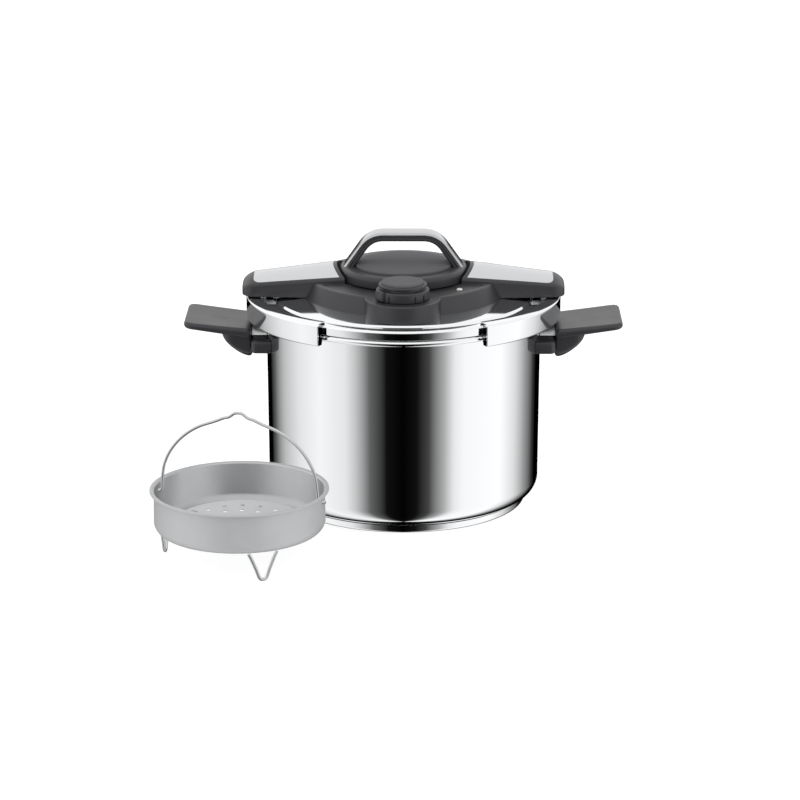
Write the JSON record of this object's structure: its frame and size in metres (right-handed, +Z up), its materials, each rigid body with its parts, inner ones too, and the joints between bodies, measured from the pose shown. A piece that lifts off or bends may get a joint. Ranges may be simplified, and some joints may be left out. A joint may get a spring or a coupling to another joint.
{
  "type": "pressure canner",
  "caption": "Lidded steel pressure pot with two side grips, a clamp lid worked by a turning bow handle, a pressure selector and a perforated basket on wire feet.",
  "frame": {"origin": "centre of the pot's underside, on the surface it stands on", "axes": "+Z up; +X towards the right side grip; -Y towards the front, where the pressure selector is"},
  "size_m": [0.3801, 0.3499, 0.2285],
  "materials": {
    "polished_steel": "mirror polished stainless steel",
    "satin_steel": "satin stainless steel",
    "spring_steel": "plain bright steel",
    "aluminium": "plain",
    "silver_trim": "satin silver",
    "black_plastic": "fine matte black",
    "grey_plastic": "satin dark grey",
    "silicone": "matte grey silicone",
    "indicator_white": "glossy red"
  },
  "bodies": {
    "pot": {"pot_body": "polished_steel", "base_cap": "polished_steel", "base_core": "aluminium", "grip_bracket_left": "black_plastic", "grip_lug_left": "satin_steel", "grip_left": "black_plastic", "grip_screw_left": "spring_steel", "grip_bracket_right": "black_plastic", "grip_lug_right": "satin_steel", "grip_right": "black_plastic", "grip_screw_right": "spring_steel"},
    "lid": {"lid_shell": "polished_steel", "gasket_channel": "satin_steel", "lid_gasket": "silicone", "slide_bridge": "satin_steel", "hub_stud": "satin_steel", "hub_nut": "satin_steel", "lid_cover": "black_plastic", "arm_trim_left": "silver_trim", "arm_trim_right": "silver_trim", "steam_fitting": "satin_steel", "steam_fitting_nut": "satin_steel", "relief_fitting": "satin_steel", "relief_fitting_nut": "satin_steel", "indicator_seal": "silicone"},
    "hub": {"hub_pinion": "spring_steel", "hub_collar": "black_plastic", "hub_cap": "grey_plastic", "bow_strap": "polished_steel", "bow_lining": "black_plastic"},
    "left_clamp": {"jaw_left": "polished_steel", "slide_bar_left": "satin_steel", "jaw_rivet_left_1": "satin_steel", "jaw_rivet_left_2": "satin_steel"},
    "right_clamp": {"jaw_right": "polished_steel", "slide_bar_right": "satin_steel", "jaw_rivet_right_1": "satin_steel", "jaw_rivet_right_2": "satin_steel"},
    "selector": {"selector_knob": "black_plastic", "selector_cap": "grey_plastic"},
    "steam_valve": {"steam_plunger": "satin_steel"},
    "relief_valve": {"relief_plunger": "satin_steel"},
    "pressure_indicator": {"indicator_pin": "indicator_white"},
    "basket": {"basket_pan": "satin_steel", "basket_leg_front": "satin_steel", "basket_leg_rear": "satin_steel", "basket_leg_side": "satin_steel"},
    "bail": {"basket_bail": "satin_steel"}
  },
  "joints": [
    {"name": "lid_lift", "type": "slide", "parent": "pot", "child": "lid", "axis": [0, 0, 1], "range_m": [0, 0.15]},
    {"name": "hub_turn", "type": "hinge", "parent": "lid", "child": "hub", "pos_m": [0, 0, 0.19], "axis": [0, 0, -1], "range_deg": [0, 90]},
    {"name": "left_clamp_slide", "type": "slide", "parent": "lid", "child": "left_clamp", "axis": [1, 0, 0], "range_m": [0, 0.0088]},
    {"name": "right_clamp_slide", "type": "slide", "parent": "lid", "child": "right_clamp", "axis": [-1, 0, 0], "range_m": [0, 0.0088]},
    {"name": "selector_turn", "type": "hinge", "parent": "lid", "child": "selector", "pos_m": [0, -0.0753, 0.19], "axis": [0, 0, 1], "range_deg": [0, 110]},
    {"name": "steam_valve_lift", "type": "slide", "parent": "lid", "child": "steam_valve", "axis": [0, 0, 1], "range_m": [0, 0.0015]},
    {"name": "relief_valve_lift", "type": "slide", "parent": "lid", "child": "relief_valve", "axis": [0, 0, 1], "range_m": [0, 0.0012]},
    {"name": "indicator_rise", "type": "slide", "parent": "lid", "child": "pressure_indicator", "axis": [0, 0, 1], "range_m": [0, 0.004]},
    {"name": "basket_lift", "type": "slide", "parent": "pot", "child": "basket", "axis": [0, 0, 1], "range_m": [0, 0.12]},
    {"name": "bail_swing", "type": "hinge", "parent": "basket", "child": "bail", "pos_m": [-0.1285, -0.16, 0.0505], "axis": [0.9744, -0.225, 0], "range_deg": [-75, 75]}
  ],
  "couplings": [
    {"joint": "left_clamp_slide", "follows": "hub_turn", "m_per_rad": 0.0056},
    {"joint": "right_clamp_slide", "follows": "hub_turn", "m_per_rad": 0.0056}
  ]
}
